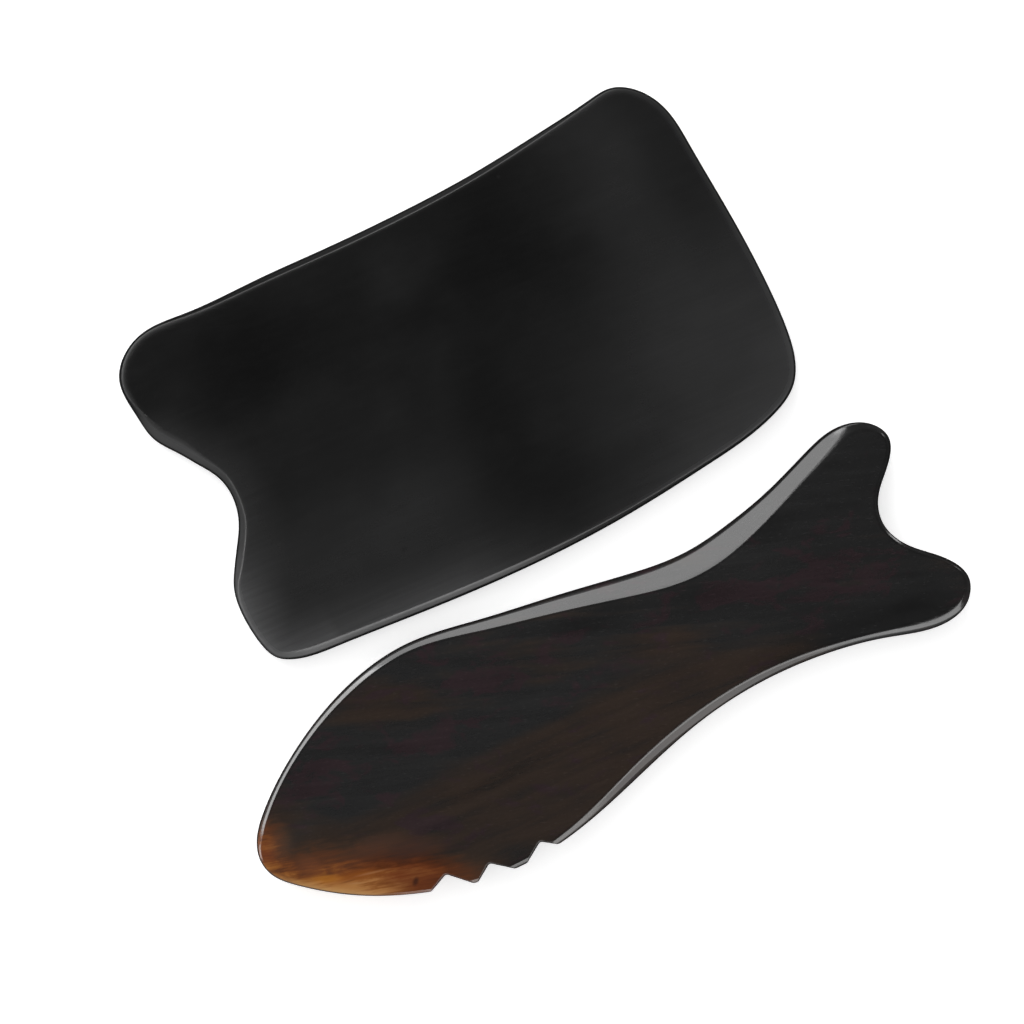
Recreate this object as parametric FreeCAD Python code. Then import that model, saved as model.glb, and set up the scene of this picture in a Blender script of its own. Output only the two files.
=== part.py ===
import FreeCAD, Part
import os
from FreeCAD import Vector

os.makedirs("parts", exist_ok=True)

# Two polished horn scrapers laid side by side: a notched plate and a fish. Millimetres.
# +X runs along both scrapers, towards the plate's plain end and the fish's tail.
# +Y runs from the fish to the plate. Both lie on the plane Z = 0.
# The origin is on that plane, under the middle of the pair.

# ---- Driving dimensions ----

PLATE_THICKNESS = 5.0
FISH_THICKNESS = 7.0

# Each face is flat, and a ground bevel falls from its border to a rounded shoulder, below which
# the edge is upright. Falls are given as depth over width, seen in section.
PLATE_BEVEL_FALL = 1.1
PLATE_SHOULDER_FALL = 1.6
FISH_BEVEL_FALL = 0.52
FISH_SHOULDER_FALL = 1.1

# However wide it is, a bevel is no shallower than the first and no deeper than the second,
# which is a share of the thickness.
BEVEL_LEAST_DEPTH = 0.45
BEVEL_MOST_SHARE = 0.3

# The shoulder starts at its fall and ends upright. The second part of its depth is this many
# times its width.
SHOULDER_FOOT = 0.7

# Rim curves pass through this many stations for each knot of the outline.
STATIONS_PER_KNOT = 4

# ---- Outlines ----
# Each row is one knot of a closed smooth outline, seen from above and going clockwise: x, y,
# the shoulder's width, and the width of shoulder and bevel together. The rows are in stretches,
# and each stretch gets faces of its own.

PLATE_OUTLINE = (
    # upper lobe
    (
        (-48.3, 45.5, 0.30, 0.9),
        (-47.9, 48.9, 0.25, 0.9),
        (-45.1, 52.4, 0.25, 0.8),
        (-40.5, 54.3, 0.20, 0.7),
    ),
    # hollow long edge
    (
        (-33.0, 54.0, 0.25, 0.8),
        (-20.0, 53.5, 0.30, 1.1),
        (-8.0, 52.9, 0.35, 1.3),
        (6.0, 52.4, 0.40, 1.4),
        (22.0, 52.6, 0.35, 1.3),
        (34.0, 53.5, 0.30, 1.1),
        (44.0, 54.5, 0.20, 0.7),
    ),
    # plain end
    (
        (48.4, 54.6, 0.20, 0.6),
        (52.2, 52.2, 0.20, 0.6),
        (54.8, 47.8, 0.20, 0.6),
        (55.8, 40.0, 0.20, 0.7),
        (56.5, 26.0, 0.20, 0.7),
        (56.6, 13.0, 0.20, 0.7),
        (56.0, 4.5, 0.20, 0.7),
        (55.1, 0.2, 0.20, 0.6),
        (52.9, -3.8, 0.20, 0.6),
    ),
    # crowned long edge
    (
        (47.2, -7.0, 0.20, 0.7),
        (34.0, -9.3, 0.25, 0.8),
        (18.0, -10.6, 0.25, 0.9),
        (0.0, -10.7, 0.30, 1.1),
        (-20.0, -9.3, 0.30, 1.2),
        (-36.0, -7.7, 0.30, 1.3),
    ),
    # lower lobe
    (
        (-43.6, -6.2, 0.25, 1.3),
        (-45.6, -4.9, 0.25, 1.2),
        (-47.3, -0.4, 0.25, 0.9),
        (-47.6, 3.8, 0.25, 0.8),
        (-46.7, 9.3, 0.25, 1.0),
    ),
    # bay
    (
        (-45.2, 12.0, 0.30, 1.2),
        (-43.4, 14.7, 0.30, 1.3),
        (-41.0, 18.6, 0.30, 1.3),
        (-40.0, 22.6, 0.30, 1.2),
        (-40.6, 26.7, 0.30, 1.5),
        (-42.6, 30.2, 0.30, 1.9),
        (-44.8, 33.6, 0.30, 2.2),
        (-47.4, 37.8, 0.30, 2.2),
        (-48.0, 41.5, 0.30, 1.4),
    ),
)

FISH_OUTLINE = (
    # snout and head
    (
        (-63.6, -33.4, 0.15, 0.5),
        (-62.5, -30.1, 0.20, 0.8),
        (-59.3, -26.5, 0.25, 1.0),
        (-50.0, -19.9, 0.25, 1.1),
        (-38.0, -14.6, 0.25, 1.1),
        (-25.5, -12.7, 0.30, 1.1),
    ),
    # back
    (
        (-12.0, -14.8, 0.35, 1.8),
        (0.0, -16.9, 0.70, 2.7),
        (12.0, -19.2, 0.85, 3.6),
        (24.0, -20.6, 0.60, 4.3),
        (32.0, -19.7, 0.35, 4.0),
        (40.0, -18.0, 0.30, 3.2),
        (49.0, -15.1, 0.30, 2.6),
    ),
    # upper tail lobe
    (
        (55.5, -13.7, 0.30, 1.8),
        (60.5, -15.3, 0.30, 1.0),
        (62.6, -18.9, 0.25, 0.8),
        (60.2, -23.3, 0.25, 0.7),
    ),
    # fork
    (
        (56.2, -27.6, 0.25, 0.7),
        (55.1, -31.3, 0.25, 0.7),
        (56.7, -36.0, 0.25, 0.7),
        (61.7, -41.4, 0.25, 0.8),
    ),
    # lower tail lobe
    (
        (63.7, -46.2, 0.25, 0.9),
        (61.4, -49.9, 0.30, 1.1),
        (57.5, -51.2, 0.30, 1.3),
    ),
    # belly
    (
        (47.0, -48.9, 0.30, 1.1),
        (36.0, -46.5, 0.30, 1.1),
        (24.0, -45.8, 0.35, 1.3),
        (12.0, -47.1, 0.60, 1.8),
        (0.0, -50.2, 0.85, 1.9),
    ),
    # toothed edge
    (
        (-12.0, -53.3, 0.50, 1.3),
        (-25.0, -54.6, 0.30, 0.8),
        (-33.0, -53.6, 0.25, 0.7),
        (-41.0, -51.3, 0.20, 0.6),
    ),
    # chin
    (
        (-51.0, -46.8, 0.15, 0.5),
        (-60.0, -40.2, 0.15, 0.5),
        (-63.1, -36.4, 0.15, 0.5),
    ),
)

# Each notch between the fish's teeth: a point on its wall towards the snout, the valley, and a
# point on its wall towards the tail. The two wall points lie a little outside the outline.
FISH_NOTCHES = (
    ((-42.6, -52.3), (-37.0, -50.0), (-32.7, -54.4)),
    ((-34.0, -54.4), (-29.7, -51.7), (-25.6, -55.1)),
    ((-25.2, -55.3), (-20.5, -52.4), (-16.8, -55.1)),
)
NOTCH_VALLEY_RADIUS = 0.6

# A small chamfer breaks the edges between a notch and the two faces.
NOTCH_BREAK = 0.4

# How far a notch's cutter stands out of both faces.
CUTTER_OVERRUN = 1.0


def smooth_loop(points, parameters=None):
    """Closed smooth curve through the points, with one more parameter than points if any."""
    curve = Part.BSplineCurve()
    if parameters:
        curve.interpolate(Points=points, PeriodicFlag=True, Parameters=parameters)
    else:
        curve.interpolate(Points=points, PeriodicFlag=True)
    return curve


def ease(start, end, share):
    """From start to end, with a level beginning and ending."""
    return start + (end - start) * share ** 2 * (3 - 2 * share)


def rim_stations(outline):
    """Places round the outline: parameter, point, inward direction, shoulder and rim widths.

    Also the parameter where the outline closes."""
    rows = [row for stretch in outline for row in stretch]
    curve = smooth_loop([Vector(x, y, 0) for x, y, shoulder, rim in rows])
    knots = curve.getKnots()
    stations = []
    for index, row in enumerate(rows):
        after = rows[(index + 1) % len(rows)]
        for step in range(STATIONS_PER_KNOT):
            share = step / STATIONS_PER_KNOT
            place = knots[index] + (knots[index + 1] - knots[index]) * share
            along = curve.tangent(place)[0]
            inward = Vector(along.y, -along.x, 0)
            shoulder = ease(row[2], after[2], share)
            rim = ease(row[3], after[3], share)
            stations.append((place, curve.value(place), inward, shoulder, rim))
    return stations, knots[-1]


def skin(curves, spans):
    """Faces between closed curves with the same parameters, one face for each span.

    Two curves give a ruled skin, and three give a curved one pulled towards the middle one."""
    degree = len(curves) - 1
    surface = Part.BSplineSurface()
    surface.buildFromPolesMultsKnots(
        list(zip(*[curve.getPoles() for curve in curves])),
        curves[0].getMultiplicities(), (degree + 1, degree + 1),
        curves[0].getKnots(), (0.0, 1.0),
        True, False, curves[0].Degree, degree)
    return [surface.toShape(first, last, 0.0, 1.0) for first, last in spans]


def flat(curve, spans):
    """Flat face inside a closed curve, with one edge for each span."""
    return Part.Face(Part.Wire([curve.toShape(first, last) for first, last in spans]))


def scraper(outline, thickness, bevel_fall, shoulder_fall):
    """Slab with two flat faces, and a bevel, a shoulder and an upright edge round each."""
    stations, end = rim_stations(outline)
    parameters = [station[0] for station in stations] + [end]
    spans = []
    first = 0
    for stretch in outline:
        last = first + len(stretch) * STATIONS_PER_KNOT
        spans.append((parameters[first], parameters[last]))
        first = last

    def rim_curves(height_at):
        """From the face's border to the upright edge: four curves, at depths below the face."""
        section_points = [[], [], [], []]
        for place, point, inward, shoulder, rim in stations:
            depth = max(BEVEL_LEAST_DEPTH, bevel_fall * (rim - shoulder))
            depth = min(depth, BEVEL_MOST_SHARE * thickness)
            knee = depth + shoulder_fall * shoulder
            foot = knee + SHOULDER_FOOT * shoulder
            section = ((rim, 0), (shoulder, depth), (0, knee), (0, foot))
            for points, (inset, below) in zip(section_points, section):
                points.append(point + inward * inset + Vector(0, 0, height_at(below)))
        return [smooth_loop(points, parameters) for points in section_points]

    lower = rim_curves(lambda below: below)
    upper = rim_curves(lambda below: thickness - below)
    faces = [flat(lower[0], spans), flat(upper[0], spans)]
    for border, shoulder_top, knee, foot in (lower, upper):
        faces.extend(skin((border, shoulder_top), spans))
        faces.extend(skin((shoulder_top, knee, foot), spans))
    faces.extend(skin((lower[-1], upper[-1]), spans))
    shell = Part.Shell(faces)
    shell.sewShape()
    solid = Part.Solid(shell)
    if solid.Volume < 0:
        solid.reverse()
    return solid


def notch_wire(notch, growth, height):
    """A notch's two walls and rounded valley, all moved into the horn by the growth."""
    snout_end, valley, tail_end = (Vector(x, y, 0) for x, y in notch)
    to_snout = (snout_end - valley).normalize()
    to_tail = (tail_end - valley).normalize()
    middle = (to_snout + to_tail).normalize()
    centre = valley + middle * (NOTCH_VALLEY_RADIUS / (middle.cross(to_tail)).Length)
    snout_side = Vector(to_snout.y, -to_snout.x, 0)
    tail_side = Vector(-to_tail.y, to_tail.x, 0)
    radius = NOTCH_VALLEY_RADIUS + growth
    up = Vector(0, 0, height)
    snout_mouth = snout_end + snout_side * growth + up
    snout_foot = centre + snout_side * radius + up
    floor = centre - middle * radius + up
    tail_foot = centre + tail_side * radius + up
    tail_mouth = tail_end + tail_side * growth + up
    return Part.Wire([
        Part.makeLine(snout_mouth, snout_foot),
        Part.Arc(snout_foot, floor, tail_foot).toShape(),
        Part.makeLine(tail_foot, tail_mouth),
        Part.makeLine(tail_mouth, snout_mouth),
    ])


def notch_cutters(notch, thickness):
    """Upright cutter through the slab, and a flared one that breaks the edge at each face."""
    reach = NOTCH_BREAK + CUTTER_OVERRUN
    levels = (
        ((0, -CUTTER_OVERRUN), (0, thickness + CUTTER_OVERRUN)),
        ((reach, -CUTTER_OVERRUN), (0, NOTCH_BREAK)),
        ((0, thickness - NOTCH_BREAK), (reach, thickness + CUTTER_OVERRUN)),
    )
    cutters = []
    for lower, upper in levels:
        wires = [notch_wire(notch, growth, height) for growth, height in (lower, upper)]
        cutters.append(Part.makeLoft(wires, True, True))
    return cutters


def fish():
    """The fish's slab with its notches cut."""
    slab = scraper(FISH_OUTLINE, FISH_THICKNESS, FISH_BEVEL_FALL, FISH_SHOULDER_FALL)
    cutters = [cutter for notch in FISH_NOTCHES for cutter in notch_cutters(notch, FISH_THICKNESS)]
    return slab.cut(cutters).Solids[0]


NODES = {
    "plate_scraper": scraper(
        PLATE_OUTLINE, PLATE_THICKNESS, PLATE_BEVEL_FALL, PLATE_SHOULDER_FALL),
    "fish_scraper": fish(),
}

for name, shape in NODES.items():
    print(name, "valid" if shape.isValid() else "NOT VALID", round(shape.Volume / 1000, 2), "cm3")
    shape.exportStep("parts/" + name + ".step")
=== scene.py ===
import math
from types import SimpleNamespace

import bpy
import numpy as np
from mathutils import Matrix, Vector
from mathutils.geometry import delaunay_2d_cdt


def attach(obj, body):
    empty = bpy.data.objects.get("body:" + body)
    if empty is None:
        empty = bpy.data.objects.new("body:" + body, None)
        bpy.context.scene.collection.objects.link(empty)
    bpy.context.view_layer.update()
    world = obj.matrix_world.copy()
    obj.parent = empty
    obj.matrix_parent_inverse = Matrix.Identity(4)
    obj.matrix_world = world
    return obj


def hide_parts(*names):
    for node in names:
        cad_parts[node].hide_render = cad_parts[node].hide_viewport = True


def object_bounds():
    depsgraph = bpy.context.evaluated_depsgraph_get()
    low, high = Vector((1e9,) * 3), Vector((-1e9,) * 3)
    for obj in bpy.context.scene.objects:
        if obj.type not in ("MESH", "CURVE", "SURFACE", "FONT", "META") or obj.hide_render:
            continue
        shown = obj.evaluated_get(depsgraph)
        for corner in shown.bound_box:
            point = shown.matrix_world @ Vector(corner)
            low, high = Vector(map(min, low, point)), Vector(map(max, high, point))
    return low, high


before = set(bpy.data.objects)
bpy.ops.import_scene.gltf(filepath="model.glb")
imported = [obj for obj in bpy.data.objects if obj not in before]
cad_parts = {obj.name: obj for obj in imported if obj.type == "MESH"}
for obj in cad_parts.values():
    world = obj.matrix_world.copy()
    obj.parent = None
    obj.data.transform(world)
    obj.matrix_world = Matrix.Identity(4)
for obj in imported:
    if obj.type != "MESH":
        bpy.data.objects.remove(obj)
cad_low, cad_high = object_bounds()
centre = (cad_low + cad_high) / 2

MM = 0.001

# ---- Shapes ----
# The outlines are the CAD part's own, in its millimetres, clockwise as seen from above. Each row
# is x, y, the shoulder's width, the width of shoulder and bevel together, how softly the bevel
# meets the face, and how steeply it falls.

PLATE_OUTLINE = (
    (-48.3, 45.5, 0.18, 0.55, 0.10, 2.3),
    (-47.9, 48.9, 0.18, 0.6, 0.12, 2.2),
    (-45.1, 52.4, 0.18, 0.55, 0.10, 2.3),
    (-40.5, 54.3, 0.18, 0.5, 0.10, 2.3),
    (-33.0, 54.0, 0.20, 0.7, 0.10, 2.3),
    (-20.0, 53.5, 0.25, 1.1, 0.10, 2.0),
    (-8.0, 52.9, 0.25, 1.2, 0.12, 1.7),
    (6.0, 52.4, 0.25, 1.2, 0.14, 1.45),
    (22.0, 52.6, 0.25, 1.1, 0.12, 1.45),
    (34.0, 53.5, 0.20, 0.9, 0.10, 1.6),
    (44.0, 54.5, 0.18, 0.6, 0.10, 2.2),
    (48.4, 54.6, 0.15, 0.5, 0.10, 2.4),
    (52.2, 52.2, 0.15, 0.5, 0.10, 2.4),
    (54.8, 47.8, 0.15, 0.45, 0.10, 2.4),
    (55.8, 40.0, 0.15, 0.45, 0.10, 2.4),
    (56.5, 26.0, 0.15, 0.45, 0.10, 2.4),
    (56.6, 13.0, 0.15, 0.45, 0.10, 2.4),
    (56.0, 4.5, 0.15, 0.45, 0.10, 2.4),
    (55.1, 0.2, 0.15, 0.45, 0.10, 2.4),
    (52.9, -3.8, 0.15, 0.45, 0.10, 2.4),
    (47.2, -7.0, 0.18, 0.5, 0.08, 2.2),
    (34.0, -9.3, 0.22, 0.6, 0.10, 1.9),
    (18.0, -10.6, 0.25, 0.8, 0.12, 1.4),
    (0.0, -10.7, 0.36, 1.1, 0.22, 0.78),
    (-20.0, -9.3, 0.36, 1.25, 0.25, 0.66),
    (-36.0, -7.7, 0.36, 1.3, 0.30, 0.64),
    (-43.6, -6.2, 0.34, 1.3, 0.35, 0.64),
    (-45.6, -4.9, 0.25, 1.1, 0.35, 0.80),
    (-47.3, -0.4, 0.20, 0.5, 0.15, 2.2),
    (-47.6, 3.8, 0.20, 0.5, 0.12, 2.2),
    (-46.7, 9.3, 0.22, 0.8, 0.15, 1.5),
    (-45.2, 12.0, 0.30, 1.3, 0.18, 1.10),
    (-43.4, 14.7, 0.30, 1.4, 0.16, 1.20),
    (-41.0, 18.6, 0.30, 1.3, 0.16, 1.25),
    (-40.0, 22.6, 0.30, 1.05, 0.18, 1.35),
    (-40.6, 26.7, 0.30, 1.3, 0.20, 1.20),
    (-42.6, 30.2, 0.30, 1.7, 0.28, 0.92),
    (-44.8, 33.6, 0.30, 2.2, 0.50, 0.75),
    (-47.4, 37.8, 0.30, 2.2, 0.60, 0.75),
    (-48.0, 41.5, 0.25, 1.3, 0.40, 1.1),
)

FISH_OUTLINE = (
    (-63.6, -33.4, 0.22, 0.6, 0.10, 0.38),
    (-62.5, -30.1, 0.50, 1.05, 0.14, 0.36),
    (-59.3, -26.5, 0.52, 1.05, 0.14, 0.36),
    (-50.0, -19.9, 0.38, 0.9, 0.10, 0.36),
    (-38.0, -14.6, 0.42, 1.1, 0.10, 0.40),
    (-25.5, -12.7, 0.46, 1.2, 0.12, 0.50),
    (-12.0, -14.8, 0.46, 1.85, 0.12, 0.52),
    (0.0, -16.9, 0.70, 2.7, 0.12, 0.52),
    (12.0, -19.2, 0.85, 3.6, 0.12, 0.52),
    (24.0, -20.6, 0.70, 4.4, 0.14, 0.52),
    (32.0, -19.7, 0.60, 4.1, 0.20, 0.54),
    (40.0, -18.0, 0.48, 3.2, 0.45, 0.56),
    (49.0, -15.1, 0.38, 3.0, 0.85, 0.585),
    (55.5, -13.7, 0.36, 2.5, 1.10, 0.41),
    (60.5, -15.3, 0.28, 1.2, 0.45, 0.34),
    (62.6, -18.9, 0.22, 0.7, 0.20, 1.10),
    (60.2, -23.3, 0.22, 0.6, 0.18, 1.20),
    (56.2, -27.6, 0.22, 0.6, 0.18, 1.20),
    (55.1, -31.3, 0.20, 0.6, 0.12, 0.62),
    (56.7, -36.0, 0.20, 0.6, 0.12, 0.62),
    (61.7, -41.4, 0.25, 0.6, 0.18, 1.20),
    (63.7, -46.2, 0.22, 0.7, 0.20, 1.00),
    (61.4, -49.9, 0.34, 1.3, 0.45, 0.45),
    (57.5, -51.2, 0.60, 1.9, 0.75, 0.315),
    (47.0, -48.9, 0.62, 1.35, 0.35, 0.38),
    (36.0, -46.5, 0.62, 1.35, 0.35, 0.40),
    (24.0, -45.8, 0.50, 1.55, 0.40, 0.50),
    (12.0, -47.1, 0.44, 1.75, 0.45, 0.52),
    (0.0, -50.2, 0.85, 2.0, 0.35, 0.48),
    (-12.0, -53.3, 0.48, 1.4, 0.20, 0.37),
    (-25.0, -54.6, 0.36, 0.85, 0.10, 0.37),
    (-33.0, -53.6, 0.22, 0.7, 0.10, 0.36),
    (-41.0, -51.3, 0.16, 0.6, 0.10, 0.38),
    (-51.0, -46.8, 0.20, 0.5, 0.12, 0.60),
    (-60.0, -40.2, 0.20, 0.5, 0.12, 0.60),
    (-63.1, -36.4, 0.20, 0.5, 0.12, 0.60),
)

# Wall point towards the snout, valley, and wall point towards the tail of each notch.
FISH_NOTCHES = (
    ((-42.6, -52.3), (-37.0, -50.0), (-32.7, -54.4)),
    ((-34.0, -54.4), (-29.7, -51.7), (-25.6, -55.1)),
    ((-25.2, -55.3), (-20.5, -52.4), (-16.8, -55.1)),
)
VALLEY_RADIUS = 0.6
TOOTH_TIP = 0.3

# How far in from its wall a notch's corner is broken, and the reach and depth of the rounding there.
NOTCH_BREAK = 0.45
WALL_ROUND = 0.16
WALL_ROUND_DEPTH = 0.14

# How far the edge swells out between its two shoulders, and how much of that the mesh takes, so
# that it stays inside the CAD part's box.
CROWN = 0.08
SWELL_SHARE = 0.95
EDGE_LEVELS = 4

# What a row needs at least to be made: its shoulder, the bevel beyond it and the bevel's depth. The
# most depth is a share of the thickness, and the softest meeting is a share of the bevel.
LEAST_SHOULDER = 0.14
LEAST_BEVEL = 0.3
LEAST_DEPTH = 0.16
MOST_DEPTH = 0.36
MOST_SOFT = 0.9

# How far past its knee the shoulder falls, as a share of its width, and the roll's reach.
FOOT_FALL = 0.4
ROLL_REACH = 0.6

# Spacing of the stations along an outline, and of the loose points on a face and their rows. The
# loose points keep off the rim and the notches.
STATION = 0.42
FACE_PITCH = 1.3
FACE_ROW = FACE_PITCH * 0.866
CLEAR_OF_RIM = 2.4
CLEAR_OF_WALL = 1.4

# Rings of points follow the outline: at shares of the shoulder, close by its inner line, at shares
# of the bevel, at shares of its soft meeting with the face, and on the face.
SHOULDER_SHARES = (0.03, 0.1, 0.22, 0.38, 0.58, 0.8)
SHOULDER_STEPS = (-0.03, 0.03)
BEVEL_SHARES = (0.0, 0.25, 0.5, 0.75)
RIM_SHARES = (-1.0, -0.66, -0.33, 0.0, 0.33, 0.66, 1.0)
FACE_STEPS = (0.1, 0.25, 0.4, 0.6, 1.1, 1.8)
NOTCH_STEPS = (0.1, 0.13, 0.18, 0.25, 0.34, 0.4, 0.45, 0.5, 0.56, 0.75, 1.1)

# Rings keep this far apart, and this far off the border where there are notches.
RING_GAP = 0.012
RING_OFF_BORDER = 0.02
WALL_RING_OFF_BORDER = 0.015

# Slight unevenness of hand grinding: height, wavelength, heading and phase of each wave.
PLATE_WAVES = ((0.030, 61, 0.3, 0.4), (0.022, 37, 2.0, 1.9), (0.010, 19, 1.1, 4.0))
FISH_WAVES = ((0.026, 47, 0.2, 0.9), (0.016, 27, 1.7, 2.6), (0.008, 15, 2.6, 5.1))
UNDERSIDE_SHIFT = 2.1

# Steps for measuring a spline, per row, and steps along each wall and the valley of a notch.
SPLINE_STEPS = 60
WALL_STEPS = 60
VALLEY_STEPS = 12

# A corner that turns out by more than this, in radians, is a tooth's tip.
TIP_TURN = 0.35
TIP_STEPS = 7

# Points measured at one time, to spare memory.
BATCH = 3000


def closed_spline(rows, spacing):
    """Evenly spaced samples of the closed smooth curve through the rows, all columns alike."""
    rows = np.array(rows, float)
    count = len(rows)
    ahead = np.roll(rows, -1, 0)
    span = np.linalg.norm((ahead - rows)[:, :2], axis=1)
    before = np.roll(span, 1)
    rise = (ahead - rows) / span[:, None]
    system = np.diag(2 * (before + span))
    for i in range(count):
        system[i, i - 1] += span[i]
        system[i, (i + 1) % count] += before[i]
    slopes = np.linalg.solve(
        system, 3 * (before[:, None] * rise + span[:, None] * np.roll(rise, 1, 0)))

    def at(u):
        """Values at u, whose whole part counts the rows."""
        i = np.floor(u).astype(int) % count
        j = (i + 1) % count
        t = (u - np.floor(u))[:, None]
        h = span[i][:, None]
        return ((1 + 2 * t) * (1 - t) ** 2 * rows[i] + t * (1 - t) ** 2 * h * slopes[i]
                + t * t * (3 - 2 * t) * rows[j] + t * t * (t - 1) * h * slopes[j])

    u = np.linspace(0, count, count * SPLINE_STEPS + 1)
    steps = np.linalg.norm(np.diff(at(u)[:, :2], axis=0), axis=1)
    length = np.concatenate([[0], np.cumsum(steps)])
    places = np.linspace(0, length[-1], int(length[-1] / spacing), endpoint=False)
    return at(np.interp(places, length, u))


def inward_of(points, closed=True):
    """Unit normals of a clockwise path, towards its right."""
    if closed:
        along = np.roll(points, -1, 0) - np.roll(points, 1, 0)
    else:
        along = np.gradient(points, axis=0)
    along = along / np.linalg.norm(along, axis=1)[:, None]
    return np.stack([along[:, 1], -along[:, 0]], 1)


def nearest(points, path, closed=True):
    """Distance from each point to a path, and the path's step that it is nearest to."""
    ends = np.roll(path, -1, 0) if closed else path[1:]
    starts = path if closed else path[:-1]
    step = ends - starts
    square = (step ** 2).sum(1)
    distance = np.empty(len(points))
    station = np.empty(len(points), int)
    for first in range(0, len(points), BATCH):
        p = points[first:first + BATCH, None, :] - starts[None]
        t = np.clip((p * step[None]).sum(2) / square[None], 0, 1)
        gap = ((p - t[:, :, None] * step[None]) ** 2).sum(2)
        best = gap.argmin(1)
        distance[first:first + BATCH] = np.sqrt(gap[np.arange(len(best)), best])
        station[first:first + BATCH] = best
    return distance, station


def averaged(points, path, values):
    """Values along a closed path, averaged by closeness, and a smooth distance from the path."""
    step = np.linalg.norm(np.roll(path, -1, 0) - path, axis=1)
    result = np.empty((len(points), values.shape[1]))
    away = np.empty(len(points))
    for first in range(0, len(points), BATCH):
        square = ((points[first:first + BATCH, None, :] - path[None]) ** 2).sum(2) + 0.1
        weight = step / (square * square)
        total = weight.sum(1)
        result[first:first + BATCH] = weight @ values / total[:, None]
        away[first:first + BATCH] = (math.pi / 2 / total) ** (1 / 3)
    return result, away


def inside(points, polygon):
    """True for the points within a closed polygon."""
    result = np.zeros(len(points), bool)
    x, y = points[:, 0], points[:, 1]
    for (ax, ay), (bx, by) in zip(polygon, np.roll(polygon, -1, 0)):
        crosses = (ay > y) != (by > y)
        if crosses.any():
            where = ax + (y - ay) / (by - ay if by != ay else 1) * (bx - ax)
            result ^= crosses & (x < where)
    return result


def soft_ramp(x, e):
    """x above zero and 0 below it, rounded within e of zero."""
    return np.where(x < -e, 0, np.where(x > e, x, (x + e) ** 2 / (4 * e)))


def notch_path(notch):
    """The two walls of a notch and its rounded valley, from snout end to tail end."""
    snout_end, valley, tail_end = (np.array(p, float) for p in notch)
    to_snout = (snout_end - valley) / np.linalg.norm(snout_end - valley)
    to_tail = (tail_end - valley) / np.linalg.norm(tail_end - valley)
    middle = (to_snout + to_tail) / np.linalg.norm(to_snout + to_tail)
    half = math.acos(float(middle @ to_tail))
    middle_at = valley + middle * VALLEY_RADIUS / math.sin(half)
    reach = VALLEY_RADIUS / math.tan(half)
    first = valley + to_snout * reach
    last = valley + to_tail * reach
    start = math.atan2(*(first - middle_at)[::-1])
    turn = math.pi - 2 * half
    sweep = turn if (to_snout[0] * to_tail[1] - to_snout[1] * to_tail[0]) < 0 else -turn
    arc = []
    for share in np.linspace(0, 1, VALLEY_STEPS + 1):
        angle = start + sweep * share
        arc.append(middle_at + VALLEY_RADIUS * np.array([math.cos(angle), math.sin(angle)]))
    down = [snout_end + (first - snout_end) * s for s in np.linspace(0, 1, WALL_STEPS, endpoint=False)]
    up = [last + (tail_end - last) * s for s in np.linspace(0, 1, WALL_STEPS + 1)[1:]]
    return np.array(down + arc + up)


def notched(loop, notches):
    """The outline with the notches let into it."""
    for notch in notches:
        path = notch_path(notch)
        path = path[inside(path, loop)][::-1]
        first, last = nearest(path[[0, -1]], loop)[1]
        keep = np.ones(len(loop), bool)
        at = first
        while at != last:
            at = (at + 1) % len(loop)
            keep[at] = False
        order = np.arange(len(loop))
        order = np.concatenate([order[last + 1:], order[:last + 1]])
        loop = np.concatenate([loop[order][keep[order]], path])
    return loop


def round_tips(loop, reach):
    """Sharp corners that stick out are rounded over the reach."""
    along = np.roll(loop, -1, 0) - loop
    heading = np.arctan2(along[:, 1], along[:, 0])
    turn = (heading - np.roll(heading, 1) + math.pi) % (2 * math.pi) - math.pi
    corners = np.nonzero(turn < -TIP_TURN)[0]
    gone = np.zeros(len(loop), bool)
    arcs = {}
    for corner in corners:
        tip = loop[corner]
        back, ahead = corner, corner
        while np.linalg.norm(loop[back % len(loop)] - tip) < reach:
            back -= 1
        while np.linalg.norm(loop[ahead % len(loop)] - tip) < reach:
            ahead += 1
        for i in range(back + 1, ahead):
            gone[i % len(loop)] = True
        start, end = loop[back % len(loop)], loop[ahead % len(loop)]
        shares = np.linspace(0, 1, TIP_STEPS + 1)[1:-1, None]
        arcs[back % len(loop)] = (
            start * (1 - shares) ** 2 + tip * 2 * shares * (1 - shares) + end * shares ** 2)
    made = []
    for i, point in enumerate(loop):
        if not gone[i]:
            made.append(point)
        if i in arcs:
            made.extend(arcs[i])
    return np.array(made)


def trimmed(shoulder, rim, soft):
    """The widths of shoulder, rim and soft meeting, kept large enough to be made."""
    shoulder = np.maximum(shoulder, LEAST_SHOULDER)
    rim = np.maximum(rim, shoulder + LEAST_BEVEL)
    soft = np.minimum(soft, MOST_SOFT * (rim - shoulder))
    return shoulder, rim, soft


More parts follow.
